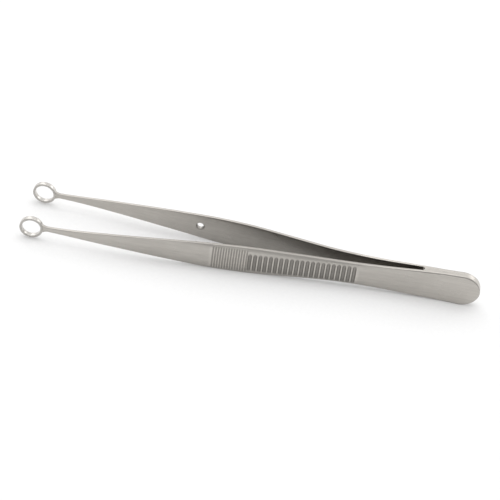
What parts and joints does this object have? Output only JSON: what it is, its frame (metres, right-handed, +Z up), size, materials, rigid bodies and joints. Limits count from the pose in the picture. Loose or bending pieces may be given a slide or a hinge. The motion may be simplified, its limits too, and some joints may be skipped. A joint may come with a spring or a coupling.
{
  "type": "print tongs",
  "caption": "Sprung steel tweezer-style print tongs with a small open ring at each tip, a cross-grooved grip, a guide pin and a rounded flat tail.",
  "frame": {"origin": "under the middle of the bounding box, on the surface that the tongs lie on", "axes": "+X along the tongs to the tail, so the ring tips are at -X; +Y across the two arms, from the left arm to the right arm; +Z up, the tongs lying on the narrow edges of their arms"},
  "size_m": [0.15, 0.0202, 0.0118],
  "materials": {
    "satin_steel": "satin, finely ground lengthways",
    "polished_steel": "turned and polished"
  },
  "bodies": {
    "tail": {"tail_spacer": "satin_steel", "left_arm_root": "satin_steel", "right_arm_root": "satin_steel"},
    "left_arm": {"left_arm_blade": "satin_steel", "left_ring": "satin_steel", "guide_pin": "polished_steel"},
    "right_arm": {"right_arm_blade": "satin_steel", "right_ring": "satin_steel"}
  },
  "joints": [
    {"name": "left_arm_flex", "type": "hinge", "parent": "tail", "child": "left_arm", "pos_m": [0.04002, -0.00192, 0.00562], "axis": [0.0106, 0, -0.9999], "range_deg": [0, 4.2], "stiffness_Nm_per_rad": 3.5},
    {"name": "right_arm_flex", "type": "hinge", "parent": "tail", "child": "right_arm", "pos_m": [0.04002, 0.00192, 0.00562], "axis": [-0.0106, 0, 0.9999], "range_deg": [0, 4.2], "stiffness_Nm_per_rad": 3.5}
  ],
  "couplings": [
    {"joint": "right_arm_flex", "follows": "left_arm_flex", "ratio": 1}
  ]
}
